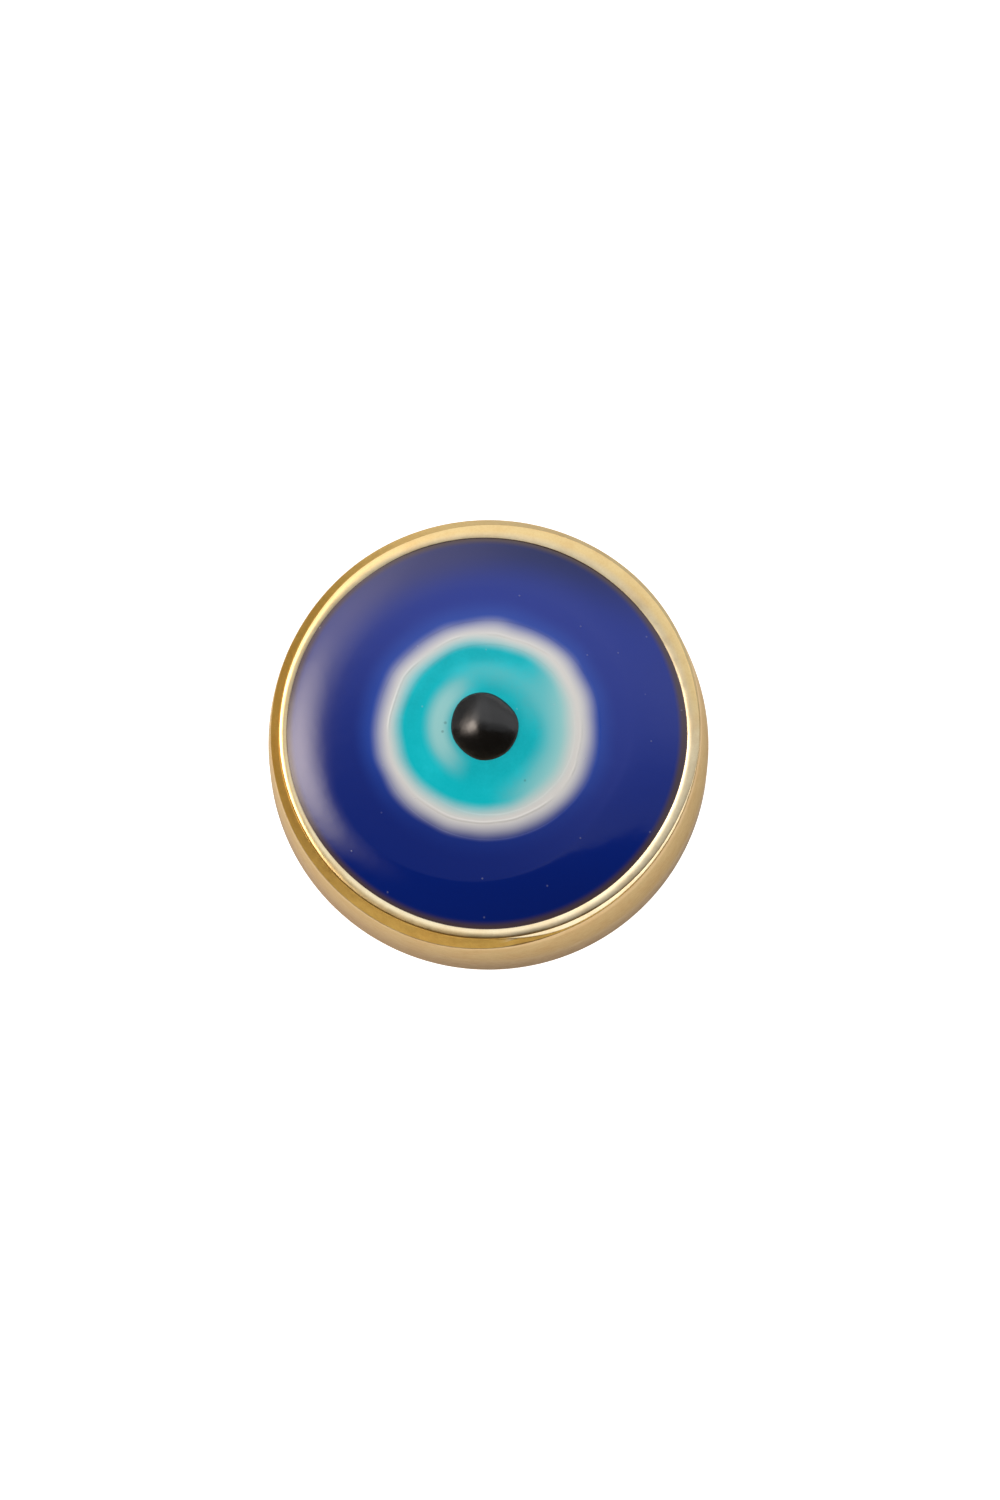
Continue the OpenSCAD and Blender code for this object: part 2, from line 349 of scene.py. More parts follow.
def make_cup(material):
    """The cup, with its parts' weights for the gold."""
    section = cup_profile()
    cup = lathe("gold_cup", [(r, z) for r, z, part in section], CUP_TURNS, cup_shift,
                sharp_deg=50)
    weights = []
    for r, z, part in section:
        count = 1 if r < AXIS_R else CUP_TURNS
        weights += [part_weights(part, r, 2 * math.pi * k / CUP_TURNS) for k in range(count)]
    for i, name in enumerate(CUP_ATTRIBUTES):
        attribute = cup.data.attributes.new(name, "FLOAT", "POINT")
        attribute.data.foreach_set("value", [weight[i] for weight in weights])
    cup.data.materials.append(material)
    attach(cup, "ornament")
    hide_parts("bezel_cup")


# ---------------------------------------------------------------- the enamel

DOME_H = 1.15 * MM
CROWN = 0.66  # share of the dome's fall that is spread over its whole width
ROLL_AT = 0.765  # where the rest of the fall starts, as a share of the radius
ROLL_POWER = 1.2
SOFT_ROLL_AT, SOFT_ROLL_POWER = 0.74, 1.5  # the same at the back, where it starts gently
ROLL_OFF_CENTRE = 0.08
LEFT_POWER = 0.5  # how much more gently it starts at the left, where the dome is fuller
LEFT_LIFT = 0.08 * MM
POUR_TURNS = 256
DOME_STEP = 0.08 * MM
BOWL_STEPS = 10
SIDE_LOW = 0.5 * MM  # above the cup's floor, where the blue's side gets its first ring
SHIFT_LOW, SHIFT_HIGH = EDGE_Z - 0.5 * MM, EDGE_Z - 0.01 * MM  # the opening's shift sets in here

swell_wave = waves(17, (1, 2, 3), 0.012 * MM)


def dome_z(r, a=None):
    """Height of the poured dome. With an angle, it has the slow swells of a hand pour."""
    t = min(1, r / ENAMEL_R)
    roll_at, power, swell, lift = ROLL_AT, ROLL_POWER, 0, 0
    if a is not None:
        front = (1 - math.sin(a)) / 2
        crisp = ease(-math.sin(a), 0, 0.7)
        left = ease(-math.cos(a), 0.3, 1)
        roll_at = SOFT_ROLL_AT + (ROLL_AT - SOFT_ROLL_AT) * front
        roll_at -= ROLL_OFF_CENTRE * math.cos(a) * (0.35 + 0.65 * crisp)
        power = SOFT_ROLL_POWER - (SOFT_ROLL_POWER - ROLL_POWER) * crisp + LEFT_POWER * left
        lift = LEFT_LIFT * left
        swell = swell_wave(a) * math.sin(math.pi * t) ** 2
    roll = max(0, (t - roll_at) / (1 - roll_at))
    drop = (DOME_H * (1 - CROWN) - lift) * roll ** power
    return EDGE_Z + DOME_H * (1 - CROWN * t ** 2) - drop + swell


def bowl(pool_r, depth):
    """A pool's underside, from its middle out, without its edge."""
    points = []
    for i in range(BOWL_STEPS):
        r = pool_r * i / BOWL_STEPS
        points.append((r, dome_z(pool_r) - depth * (1 - (r / pool_r) ** 2)))
    return points


def pour_shift(a, r, z):
    """Follows the cup's opening at the edge, and the dome's swells on top."""
    top = ease(z, SHIFT_LOW, SHIFT_HIGH)
    out = ease(r, 0.8 * ENAMEL_R, ENAMEL_R)
    return opening_shift(a) * out * top, (dome_z(r, a) - dome_z(r)) * top


def make_pour(name, node, outer_r, inner_r, outer_depth, inner_depth, material):
    """One colour's pool: its ring of the dome, over its own bowl and round the next pool's.
    The first pour has no bowl, as it fills the cup, and the last has none inside it."""
    steps = max(8, round((outer_r - inner_r) / DOME_STEP))
    if outer_depth is None:
        profile = [(0, FLOOR_Z), (ENAMEL_R, FLOOR_Z)]
        profile += line((ENAMEL_R, FLOOR_Z + SIDE_LOW), (ENAMEL_R, EDGE_Z), 4)
    else:
        profile = bowl(outer_r, outer_depth)
    for i in range(steps + 1):
        r = outer_r + (inner_r - outer_r) * i / steps
        profile.append((r, dome_z(r)))
    if inner_depth is not None:
        profile += reversed(bowl(inner_r, inner_depth))
    pour = lathe(name, profile, POUR_TURNS, pour_shift, sharp_deg=50)
    pour.data.materials.append(material)
    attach(pour, "ornament")
    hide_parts(node)


DROP_MIDDLE = (-0.15 * MM, 0.1 * MM)
# turns, share of the radius, and direction in degrees
DROP_WAVES = ((1, 0.012, 162), (2, 0.028, 124), (3, 0.013, 3), (4, 0.01, 11), (6, 0.006, 17))
DROP_TURNS, DROP_RINGS = 160, 26
DROP_SUNK = 0.03 * MM  # how far its edge lies in the dome
DROP_MARGIN = 0.02 * MM  # how far it stays inside the CAD drop's radius
DROP_FOOT = 0.05 * MM  # how deep the middle of its underside lies


def drop_edge(a):
    """The drop's outline: nearly round, with the flats where it crept as it set."""
    wave = sum(size * math.cos(n * (a - math.radians(turn))) for n, size, turn in DROP_WAVES)
    return (PUPIL_R - DROP_MARGIN) * (1 + wave)


def make_drop(material):
    """The pupil: a drop of black on the dome."""
    height = PUPIL_TOP - dome_z(0)
    verts, faces = [], []
    for i in range(DROP_RINGS):
        out = 1 - i / DROP_RINGS
        for k in range(DROP_TURNS):
            a = 2 * math.pi * k / DROP_TURNS
            r = PUPIL_R * out + (drop_edge(a) - PUPIL_R) * out ** 3
            x, y = DROP_MIDDLE[0] + r * math.cos(a), DROP_MIDDLE[1] + r * math.sin(a)
            up = height * (1 - (math.sqrt(1 + out ** 2) - 1) / (math.sqrt(2) - 1))
            up -= DROP_SUNK * (i == 0)
            verts.append((x, y, dome_z(math.hypot(x, y)) + up))
    for i in range(DROP_RINGS - 1):
        one, two = i * DROP_TURNS, (i + 1) * DROP_TURNS
        for k in range(DROP_TURNS):
            n = (k + 1) % DROP_TURNS
            faces.append((one + k, one + n, two + n, two + k))
    top, bottom = len(verts), len(verts) + 1
    verts.append((*DROP_MIDDLE, dome_z(math.hypot(*DROP_MIDDLE)) + height))
    verts.append((*DROP_MIDDLE, dome_z(PUPIL_R) - DROP_FOOT))
    last = (DROP_RINGS - 1) * DROP_TURNS
    for k in range(DROP_TURNS):
        n = (k + 1) % DROP_TURNS
        faces.append((last + k, last + n, top))
        faces.append((n, k, bottom))
    drop = add_object("pupil_drop", verts, faces, sharp_deg=60)
    drop.data.materials.append(material)
    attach(drop, "ornament")
    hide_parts("black_pupil")


# ---------------------------------------------------------------- node helpers


class Nodes:
    """Short ways to add the nodes that the materials use."""

    def __init__(self, tree):
        self.tree = tree

    def new(self, kind, **settings):
        node = self.tree.nodes.new(kind)
        for key, value in settings.items():
            setattr(node, key, value)
        return node

    def put(self, socket, value):
        """Links an output to a socket, or sets the socket's own value."""
        if isinstance(value, bpy.types.NodeSocket):
            self.tree.links.new(value, socket)
        elif value is not None:
            socket.default_value = value

    def math(self, operation, a, b=None):
        node = self.new("ShaderNodeMath", operation=operation)
        self.put(node.inputs[0], a)
        self.put(node.inputs[1], b)
        return node.outputs[0]

    def times(self, first, *others):
        for other in others:
            first = self.math("MULTIPLY", first, other)
        return first

    def plus(self, first, *others):
        for other in others:
            first = self.math("ADD", first, other)
        return first

    def vector(self, operation, a, b=None, scale=None):
        node = self.new("ShaderNodeVectorMath", operation=operation)
        self.put(node.inputs[0], a)
        self.put(node.inputs[1], b)
        if scale is not None:
            self.put(node.inputs["Scale"], scale)
        return node.outputs["Value" if operation in ("LENGTH", "DOT_PRODUCT") else "Vector"]

    def step(self, value, low, high, to_low=0.0, to_high=1.0):
        """A smooth step from to_low to to_high as value goes from low to high."""
        node = self.new("ShaderNodeMapRange", interpolation_type="SMOOTHSTEP")
        self.put(node.inputs["Value"], value)
        self.put(node.inputs["From Min"], low)
        self.put(node.inputs["From Max"], high)
        self.put(node.inputs["To Min"], to_low)
        self.put(node.inputs["To Max"], to_high)
        return node.outputs["Result"]

    def mix(self, factor, a, b, blend="MIX"):
        """Mixes two outputs or (red, green, blue) colours."""
        node = self.new("ShaderNodeMix", data_type="RGBA", blend_type=blend)
        self.put(node.inputs["Factor"], factor)
        for name, colour in (("A", a), ("B", b)):
            self.put(node.inputs[name], (*colour, 1) if isinstance(colour, tuple) else colour)
        return node.outputs["Result"]

    def noise(self, vector, scale, detail=2.0, roughness=0.5, output="Fac"):
        node = self.new("ShaderNodeTexNoise")
        self.put(node.inputs["Vector"], vector)
        node.inputs["Scale"].default_value = scale
        node.inputs["Detail"].default_value = detail
        node.inputs["Roughness"].default_value = roughness
        return node.outputs[output]

    def bump(self, height, distance):
        node = self.new("ShaderNodeBump")
        node.inputs["Strength"].default_value = 1
        node.inputs["Distance"].default_value = distance
        self.put(node.inputs["Height"], height)
        return node.outputs["Normal"]

    def millimetres(self):
        """The point on the piece, in millimetres of the part's frame."""
        place = self.new("ShaderNodeTexCoord").outputs["Object"]
        return self.vector("SCALE", place, scale=1 / MM)


def new_material(name, **constants):
    """A node material, its node helper and its Principled shader's inputs. The constants are
    set on those inputs, with _ for a space."""
    material = bpy.data.materials.new(name)
    material.use_nodes = True
    inputs = material.node_tree.nodes["Principled BSDF"].inputs
    for key, value in constants.items():
        inputs[key.replace("_", " ")].default_value = value
    return material, Nodes(material.node_tree), inputs


CENTRE = (0, 0)


def circle_distance(n, place, middle):
    """Distance in the XY plane from a middle, in mm."""
    flat = n.vector("MULTIPLY", place, (1, 1, 0))
    return n.vector("LENGTH", n.vector("SUBTRACT", flat, (*middle, 0)))


def facing(n, place, middle, degrees, half_width):
    """1 in one direction from a middle, falling to 0 at half_width degrees to each side."""
    flat = n.vector("SUBTRACT", n.vector("MULTIPLY", place, (1, 1, 0)), (*middle, 0))
    way = (math.cos(math.radians(degrees)), math.sin(math.radians(degrees)), 0)
    cosine = n.vector("DOT_PRODUCT", n.vector("NORMALIZE", flat), way)
    return n.step(cosine, math.cos(math.radians(half_width)), 1)


def band(n, value, low, low_soft, high, high_soft):
    """1 between low and high, with soft ends."""
    return n.times(n.step(value, low - low_soft, low + low_soft),
                   n.step(value, high - high_soft, high + high_soft, 1, 0))


# ---------------------------------------------------------------- enamel materials

ENAMEL_IOR = 1.5
ENAMEL_ROUGH = (0.07, 0.11)
ENAMEL_BUMP = 0.012 * MM
DROP_ROUGH = (0.2, 0.25)
DROP_BUMP = 0.02 * MM
DROP_GLOSS = 0.62
RING = (-0.11, 0.07)  # middles of the hand-poured pools, in mm
POOL = (-0.23, 0.13)
MIDDLE = (-0.15, 0.1)
RIM_REFLECTION_MIDDLE = (-0.11, 0.06)
TO_WHITE = (3.15, 3.95)  # mm from POOL over which turquoise turns white
TO_BLUE = (3.83, 4.74)  # mm from RING over which white turns blue
RIDGE, RIDGE_SOFT = (3.88, 3.96), 0.04  # the hairline ridge, in mm from RING
TO_RIM_REFLECTION = (7.76, 8.05)  # mm from its middle over which blue turns brown, a painted reflection of the gold rim
SPECKS_PER_MM = 0.75
DARK_SPECKS = ((-1.75, 0.24, 0.05), (-1.86, -0.12, 0.045), (1.5, -2.1, 0.04))  # x, y, radius in mm

NAVY = (0.0004, 0.014, 0.192)
COBALT = (0.002, 0.023, 0.293)
HALO = (0.014, 0.068, 0.44)
# a painted reflection of the lamp
LAMP_REFLECTION_LILAC = (0.07, 0.068, 0.19)
# for the painted shade at the back edge
BLACK = (0, 0, 0)
# a painted reflection of the gold rim in the enamel's edge
RIM_REFLECTION_BROWN = (0.09, 0.06, 0.045)
WHITE = (0.71, 0.735, 0.74)
TURQUOISE = (0.0, 0.51, 0.615)
PALE_TURQUOISE = (0.01, 0.62, 0.74)
TEAL = (0.0, 0.45, 0.545)
MILK = (0.41, 0.73, 0.74)
PALE_SPECK = (0.6, 0.65, 0.8)
DARK_SPECK = (0.03, 0.1, 0.12)
DROP_BLACK, DROP_GREY = (0.0025, 0.0025, 0.003), (0.005, 0.0045, 0.005)


def pool_colour(n, place, pool_r, swirl):
    """Turquoise, with milky drifts where the white bled in."""
    from_middle = circle_distance(n, place, MIDDLE)
    left = n.times(band(n, from_middle, 1.5, 0.3, 2.3, 0.35), facing(n, place, MIDDLE, 174, 82))
    right = n.times(n.step(pool_r, 2.1, 3.5), facing(n, place, POOL, -12, 75))
    upper = n.times(band(n, pool_r, 1.9, 0.5, 2.7, 0.4), facing(n, place, POOL, 62, 75))
    milk = n.plus(n.times(left, 0.75), n.times(right, 0.75), n.times(upper, 0.22))
    milk = n.math("MINIMUM", milk, 1)
    deep = n.times(band(n, pool_r, 2.7, 0.3, 3.3, 0.25), facing(n, place, POOL, 125, 80))
    near = n.step(from_middle, 2.7, 1.8, 0, 0.9)
    pool = n.mix(n.math("MAXIMUM", deep, near), TURQUOISE, TEAL)
    pool = n.mix(n.times(milk, n.step(deep, 0, 1, 1, 0.15)), pool, MILK)
    grain = n.noise(place, 9, 3, 0.6)
    pale = n.plus(n.step(grain, 0.35, 0.65, 0, 0.15), n.step(swirl, 0.4, 0.8, 0, 0.6))
    return n.mix(n.times(pale, n.step(milk, 0, 0.5, 1, 0)), pool, PALE_TURQUOISE)


def blue_colour(n, place, ring_r):
    """Deep blue: brighter at the upper right and round the white, with painted shade at the back
    edge and a painted reflection of the lamp, a lilac tint, at the upper left edge."""
    up_right = n.vector("DOT_PRODUCT", place, (0.45, 0.89, 0))
    back = n.vector("DOT_PRODUCT", place, (0, 1, 0))
    radius = circle_distance(n, place, CENTRE)
    blue = n.mix(n.step(up_right, -6, 5), NAVY, COBALT)
    halo = n.times(n.step(ring_r, 4.4, 5.5, 0.8, 0), n.step(back, -4.5, 0, 0.2, 1))
    blue = n.mix(halo, blue, HALO)
    # painted shade: the blue darkens towards black along the back edge
    shade = n.times(n.step(back, 3.5, 7.7, 0, 0.65), n.step(radius, 5.5, 7.7))
    blue = n.mix(shade, blue, BLACK)
    # painted reflection of the lamp: a pale lilac tint at the upper left edge
    lamp_reflection = n.times(n.step(radius, 5.7, 7.5), facing(n, place, CENTRE, 138, 65), 0.5)
    return n.mix(lamp_reflection, blue, LAMP_REFLECTION_LILAC)


def pale_specks(n, place):
    """A few specks of dust and bubbles."""
    cells = n.new("ShaderNodeTexVoronoi", voronoi_dimensions="2D")
    cells.inputs["Scale"].default_value = SPECKS_PER_MM
    n.put(cells.inputs["Vector"], place)
    lucky = n.vector("DOT_PRODUCT", cells.outputs["Color"], (1, 0, 0))
    return n.times(n.step(cells.outputs["Distance"], 0.015, 0.04, 1, 0), n.step(lucky, 0.75, 0.8))


def eye_colour(n):
    """The colours of the whole eye, bled into each other, and the enamel's surface height.
    All three pours use it, so that the pieces meet without a line."""
    place = n.millimetres()
    drift = n.vector("SUBTRACT", n.noise(place, 0.45, 1, 0.4, "Color"), (0.5, 0.5, 0.5))
    warped = n.vector("ADD", place, n.vector("SCALE", drift, scale=0.35))
    ring_r = circle_distance(n, warped, RING)
    pool_r = circle_distance(n, warped, POOL)
    swirl = n.noise(warped, 0.7, 3, 0.5)

    inner = n.mix(n.step(pool_r, *TO_WHITE), pool_colour(n, place, pool_r, swirl), WHITE)
    colour = n.mix(n.step(ring_r, *TO_BLUE), inner, blue_colour(n, place, ring_r))
    # painted reflection of the gold rim: the blue turns brown at the enamel's edge
    rim_reflection = n.step(circle_distance(n, place, RIM_REFLECTION_MIDDLE), *TO_RIM_REFLECTION)
    colour = n.mix(n.times(rim_reflection, 0.85), colour, RIM_REFLECTION_BROWN)
    speck = pale_specks(n, place)
    colour = n.mix(n.times(speck, 0.12), colour, PALE_SPECK)
    for x, y, size in DARK_SPECKS:
        spot = n.step(circle_distance(n, place, (x, y)), 1.7 * size, 0.6 * size, 0, 0.4)
        colour = n.mix(spot, colour, DARK_SPECK)

    # the ridge where the white pool stopped, and the pour's slow swells
    ridge = band(n, ring_r, RIDGE[0], RIDGE_SOFT, RIDGE[1], RIDGE_SOFT)
    ridge = n.times(ridge, n.step(swirl, 0.38, 0.6))
    height = n.plus(ridge, n.times(n.noise(place, 1.1, 2), 0.6), n.times(speck, 0.6))
    return colour, height


def enamel_material(name, gloss=0.5):
    """Poured enamel. The gloss is its specular level."""
    material, n, inputs = new_material(name, IOR=ENAMEL_IOR, Specular_IOR_Level=gloss)
    colour, height = eye_colour(n)
    n.put(inputs["Base Color"], colour)
    n.put(inputs["Roughness"], n.step(n.noise(n.millimetres(), 2.5, 3), 0.3, 0.7, *ENAMEL_ROUGH))
    n.put(inputs["Normal"], n.bump(height, ENAMEL_BUMP))
    return material


def drop_material():
    """The black drop, a little rougher than the dome."""
    material, n, inputs = new_material(
        "black_drop", IOR=ENAMEL_IOR, Specular_IOR_Level=DROP_GLOSS)
    place = n.millimetres()
    n.put(inputs["Base Color"], n.mix(n.noise(place, 3, 3), DROP_BLACK, DROP_GREY))
    n.put(inputs["Roughness"], n.step(n.noise(place, 4, 3), 0.3, 0.7, *DROP_ROUGH))
    n.put(inputs["Normal"], n.bump(n.noise(place, 1.6, 2), DROP_BUMP))
    return material


# ---------------------------------------------------------------- metal materials

METAL_BUMP = 0.02 * MM
WALL_ROUGH, BAND_ROUGH, BEVEL_ROUGH = (0.4, 0.52), (0.36, 0.46), (0.3, 0.4)
# the rim's one plating, with painted highlights in cream and pale gold, and painted shade in the
# duller golds
BEVEL_HIGHLIGHT_CREAM = (0.99, 0.87, 0.6)
BEVEL_GOLD = (0.98, 0.76, 0.37)
BEVEL_BACK_SHADE = (0.76, 0.56, 0.27)
BAND_GOLD = (0.85, 0.57, 0.16)
BAND_LEFT_SHADE = (0.34, 0.2, 0.04)
BAND_RIGHT_HIGHLIGHT = (0.58, 0.47, 0.28)
# tarnish and painted shade in the filed line
GROOVE_TARNISH_AND_SHADE = (0.22, 0.1, 0.015)
WALL_GOLD = (0.51, 0.385, 0.195)
# a painted highlight just under the rim
WALL_TOP_HIGHLIGHT = (0.62, 0.48, 0.27)
# painted shade at the wall's foot
WALL_FOOT_SHADE = (0.15, 0.096, 0.045)
WALL_FOOT_SHADE_FRONT_LEFT = (0.26, 0.17, 0.085)  # the foot's painted shade, lighter at the front left
CLOUD_TINT = (0.78, 0.53, 0.27)
GRAIN_TINT = (0.72, 0.58, 0.4)
TARNISH = (0.34, 0.22, 0.1)


def wall_colour(n, place):
    """Satin gold, darkened towards its foot by painted shade, less at the front left, and
    lightened just under the rim by a painted highlight.
    """
    height = n.vector("DOT_PRODUCT", place, (0, 0, 1))
    front_left = n.vector("DOT_PRODUCT", place, (-0.8, -0.6, 0))
    # painted shade darkening the wall towards its foot, less at the front left
    foot = n.mix(n.step(front_left, 5, 9), WALL_FOOT_SHADE, WALL_FOOT_SHADE_FRONT_LEFT)
    wall = n.mix(n.step(height, 0.2, 4.8), foot, WALL_GOLD)
    # painted highlight just under the rim
    return n.mix(n.step(height, 4.1, 4.4), wall, WALL_TOP_HIGHLIGHT)


def rim_colour(n, place, on_bevel):
    """A bevel painted cream as a highlight next to the enamel and at the lip, gold elsewhere, with
    painted shade at the back. Outside it, a band with painted shade at the left and a painted
    highlight at the upper right."""
    radius = circle_distance(n, place, CENTRE)
    # painted highlight: the bevel is cream next to the enamel and at the lip
    golden = n.times(n.step(radius, 8.1, 8.5),
                     n.step(facing(n, place, CENTRE, LIP_ANGLE, 60), 0, 0.7, 1, 0.1))
    # painted shade on the bevel's gold at the back
    back = n.times(facing(n, place, CENTRE, 75, 110), 0.45)
    bevel = n.mix(golden, BEVEL_HIGHLIGHT_CREAM, n.mix(back, BEVEL_GOLD, BEVEL_BACK_SHADE))
    # painted shade on the band at the left, and a painted highlight at its upper right
    left_shade = n.times(facing(n, place, CENTRE, 172, 75), 0.9)
    right_highlight = n.times(facing(n, place, CENTRE, 45, 95), 0.9)
    painted_band = n.mix(right_highlight, n.mix(left_shade, BAND_GOLD, BAND_LEFT_SHADE), BAND_RIGHT_HIGHLIGHT)
    return n.mix(on_bevel, painted_band, bevel)


def cup_material():
    """Gold plate: a satin wall, a brushed band, a filed line with tarnish and painted shade, and a
    bevel polished by hand, all with a fine grain and soft dents."""
    material, n, inputs = new_material(
        "gold_plate", Metallic=1, Specular_Tint=(0.84, 0.73, 0.6, 1))
    place = n.millimetres()
    on_rim, on_bevel, on_groove = (
        n.new("ShaderNodeAttribute", attribute_name=name).outputs["Fac"] for name in CUP_ATTRIBUTES
    )
    rim_not_wall = n.step(on_rim, 0.2, 0.8)
    colour = n.mix(rim_not_wall, wall_colour(n, place), rim_colour(n, place, on_bevel))
    cloud = n.noise(place, 0.8, 4, 0.55)
    colour = n.mix(n.step(cloud, 0.4, 0.75, 0, 0.25), colour, CLOUD_TINT, "MULTIPLY")
    grain = n.step(n.noise(place, 11, 4, 0.7), 0.35, 0.65, 0, 0.16)
    colour = n.mix(grain, colour, GRAIN_TINT, "MULTIPLY")
    # tarnish in the filed line, with painted shade making it strongest at the front; it also
    # darkens the lip's outer edge
    tarnish = n.step(facing(n, place, CENTRE, -90, 120), 0.0, 0.6, 0.1, 1)
    colour = n.mix(n.times(on_groove, tarnish), colour, GROOVE_TARNISH_AND_SHADE)

    brushed = n.noise(n.vector("MULTIPLY", place, (1, 1, 6)), 3, 4, 0.6)
    rough = n.mix(rim_not_wall, n.step(brushed, 0.3, 0.7, *WALL_ROUGH),
                  n.step(n.noise(place, 6, 4), 0.3, 0.7, *BAND_ROUGH))
    rough = n.mix(on_bevel, rough, n.step(n.noise(place, 2, 4, 0.6), 0.3, 0.75, *BEVEL_ROUGH))
    bumps = n.plus(n.noise(place, 1.6, 2, 0.5), n.times(n.noise(place, 28, 4, 0.65), 0.035))
    bumps = n.times(bumps, n.step(on_bevel, 0, 1, 1, 0.5))
    n.put(inputs["Base Color"], colour)
    n.put(inputs["Roughness"], rough)
    n.put(inputs["Normal"], n.bump(bumps, METAL_BUMP))
    return material


def plated_material(name, colour=(0.5, 0.37, 0.17), rough=(0.2, 0.32)):
    """Bright plated sheet or wire, with a fine grain and a little tarnish."""
    material, n, inputs = new_material(name, Metallic=1)
    place = n.millimetres()
    tarnish = n.step(n.noise(place, 1.2, 4, 0.6), 0.4, 0.75, 0, 0.5)
    n.put(inputs["Base Color"], n.mix(tarnish, colour, TARNISH))
    n.put(inputs["Roughness"], n.step(n.noise(place, 5, 4, 0.6), 0.3, 0.7, *rough))
    height = n.plus(n.noise(place, 1.5, 2), n.times(n.noise(place, 14, 3), 0.08))
    n.put(inputs["Normal"], n.bump(height, METAL_BUMP))
    return material


# ---------------------------------------------------------------- build

make_cup(cup_material())
make_pour("blue_pour", "cobalt_enamel", ENAMEL_R, WHITE_R, None, WHITE_DEPTH,
          enamel_material("blue_enamel"))
make_pour("white_pour", "white_enamel", WHITE_R, TURQUOISE_R, WHITE_DEPTH,
          TURQUOISE_DEPTH, enamel_material("white_enamel"))
make_pour("turquoise_pour", "turquoise_enamel", TURQUOISE_R, 0, TURQUOISE_DEPTH,
          None, enamel_material("turquoise_enamel", 0.2))
make_drop(drop_material())

plated = plated_material("plated_brass")
spring = plated_material("spring_brass", (0.56, 0.43, 0.22), (0.16, 0.28))
solder = plated_material("solder", (0.36, 0.35, 0.33), (0.25, 0.4))
for node, material in (("tack_post", spring), ("solder_fillet", solder), ("clutch_plate", plated),
                       ("clutch_cap", plated), ("wing_left", spring), ("wing_right", spring)):
    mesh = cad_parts[node].data
    mesh.materials.clear()
    mesh.materials.append(material)

# ---------------------------------------------------------------- floor and light

FLOOR_SIZE = 1.5
FLOOR_GAP = 0.5 * MM
FLOOR_GLOW = 0.79
CLUTCH_PULL = 9 * MM  # how far the clutch comes down off the post

# Angles are in degrees from straight up: side is towards +X, and ahead is towards +Y.
PANEL_EDGE = (-15.5, -12.5)  # ahead, where the panel starts
PANEL_END, PANEL_END_SHARE = (68, 96), 0.35  # ahead, where it fades, and to what share
PANEL_LEFT, PANEL_LEFT_SHARE = (-40, -60), 0.3  # side, where it fades
PANEL_RISE = (-6, 32)  # ahead, over which it goes from PANEL_FRONT to PANEL_BACK
PANEL_FRONT, PANEL_BACK = 0.25, 1.08
DIM_SIDE, DIM_AHEAD, DIM = (12, -25), (28, 8), 0.4  # it is dimmer at the front left
FILL_SIDE, FILL_AHEAD, FILL = (0, 18), (35, 5), 0.17  # and fuller at the front right
RIGHT_SIDE, RIGHT_SHARE = (14, 34), 0.86  # side, where it fades at the right
ROOM, ROOM_NEAR = 0.4, 0.06  # the room's strength low down, and close to the panel
ROOM_RISE = (-76, -64)
ROOM_END, ROOM_END_SHARE = (-95, -75), 0.6
LAMP = 8.5
LAMP_SIDE, LAMP_AHEAD = -47, 6  # the lamp's middle
LAMP_WIDE, LAMP_LONG = 13.5, 23
LAMP_EDGE, LAMP_CORE = 1.7, 0.1  # where it ends and is full, in shares of those sizes
LAMP_TRAIL = 1.0  # the soft light around it
TRAIL_RIGHT, TRAIL_LEFT = (-16, -36), (-60, -74)
TRAIL_FRONT, TRAIL_BACK = (-34, -16), (40, 70)
TRAIL_BACK_SHARE = 0.1
PANEL_WHITE = (0.97, 0.98, 1, 1)
ROOM_BROWN = (1, 0.8, 0.5, 1)
LAMP_WARM = (1, 0.86, 0.75, 1)


def make_floor():
    """A plain white table, low enough to clear the clutch when it is pulled right off the
    post. It glows a little, as a light table does."""
    z = min(POST_TIP_Z, WING_TIP_Z - CLUTCH_PULL) - FLOOR_GAP
    corners = [(-1, -1), (1, -1), (1, 1), (-1, 1)]
    floor = add_object("floor", [(x * FLOOR_SIZE, y * FLOOR_SIZE, z) for x, y in corners],
                       [(0, 1, 2, 3)])
    floor.data.materials.append(new_material(
        "white_table", Base_Color=(0.7, 0.7, 0.7, 1), Roughness=0.9, Specular_IOR_Level=0.1,
        Emission_Color=(1, 1, 1, 1), Emission_Strength=FLOOR_GLOW)[0])


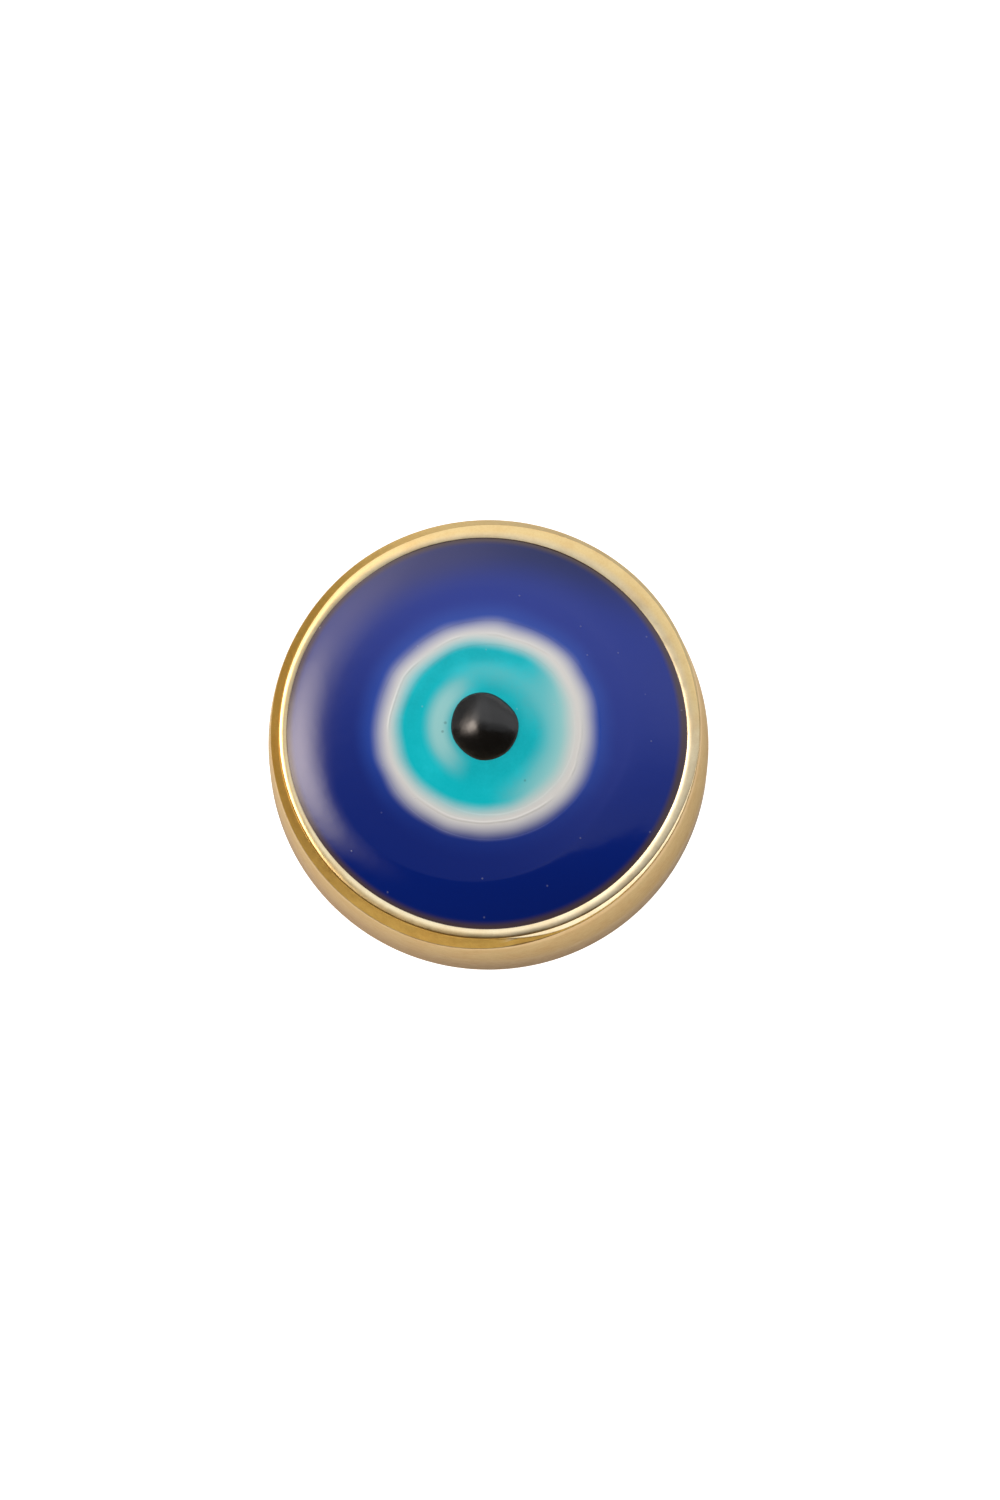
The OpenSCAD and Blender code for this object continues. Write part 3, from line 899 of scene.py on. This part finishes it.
def make_sky():
    """Soft studio light: a broad panel overhead and behind, a warm lamp at the left, and a
    dim brown room in front."""
    world = bpy.data.worlds.new("studio")
    bpy.context.scene.world = world
    world.use_nodes = True
    n = Nodes(world.node_tree)
    way = n.vector("NORMALIZE", n.new("ShaderNodeTexCoord").outputs["Generated"])
    split = n.new("ShaderNodeSeparateXYZ")
    n.put(split.inputs[0], way)
    x, y, z = split.outputs
    side = n.times(n.math("ARCTAN2", x, z), math.degrees(1))
    ahead = n.times(n.math("ARCTAN2", y, z), math.degrees(1))

    front = n.step(ahead, *PANEL_EDGE)
    panel = n.times(front, n.step(ahead, *PANEL_END, 1, PANEL_END_SHARE),
                    n.step(side, *PANEL_LEFT, 1, PANEL_LEFT_SHARE))
    dim = n.times(n.step(side, *DIM_SIDE, 0, DIM), n.step(ahead, *DIM_AHEAD))
    glow = n.step(ahead, *PANEL_RISE, PANEL_FRONT, PANEL_BACK)
    glow = n.times(glow, n.step(side, *RIGHT_SIDE, 1, RIGHT_SHARE), n.math("SUBTRACT", 1, dim))
    fill = n.times(n.step(side, *FILL_SIDE, 0, FILL), n.step(ahead, *FILL_AHEAD))
    panel = n.times(panel, n.plus(glow, fill))

    room = n.times(n.step(ahead, *ROOM_RISE, ROOM, ROOM_NEAR),
                   n.step(ahead, *ROOM_END, ROOM_END_SHARE, 1))
    room = n.times(room, n.math("SUBTRACT", 1, front))

    across = n.math("DIVIDE", n.math("SUBTRACT", side, LAMP_SIDE), LAMP_WIDE)
    along = n.math("DIVIDE", n.math("SUBTRACT", ahead, LAMP_AHEAD), LAMP_LONG)
    off = n.math("SQRT", n.plus(n.times(across, across), n.times(along, along)))
    trail = n.times(n.step(side, *TRAIL_RIGHT, 0, LAMP_TRAIL), n.step(side, *TRAIL_LEFT, 1, 0),
                    n.step(ahead, *TRAIL_FRONT), n.step(ahead, *TRAIL_BACK, 1, TRAIL_BACK_SHARE))
    lamp = n.plus(n.step(off, LAMP_EDGE, LAMP_CORE, 0, LAMP), trail)

    total = None
    for strength, colour in ((panel, PANEL_WHITE), (room, ROOM_BROWN), (lamp, LAMP_WARM)):
        light = n.new("ShaderNodeBackground")
        n.put(light.inputs["Color"], colour)
        n.put(light.inputs["Strength"], strength)
        if total is None:
            total = light.outputs[0]
            continue
        both = n.new("ShaderNodeAddShader")
        n.put(both.inputs[0], total)
        n.put(both.inputs[1], light.outputs[0])
        total = both.outputs[0]
    n.put(world.node_tree.nodes["World Output"].inputs["Surface"], total)


make_floor()
make_sky()
bpy.context.scene.view_settings.view_transform = "Standard"
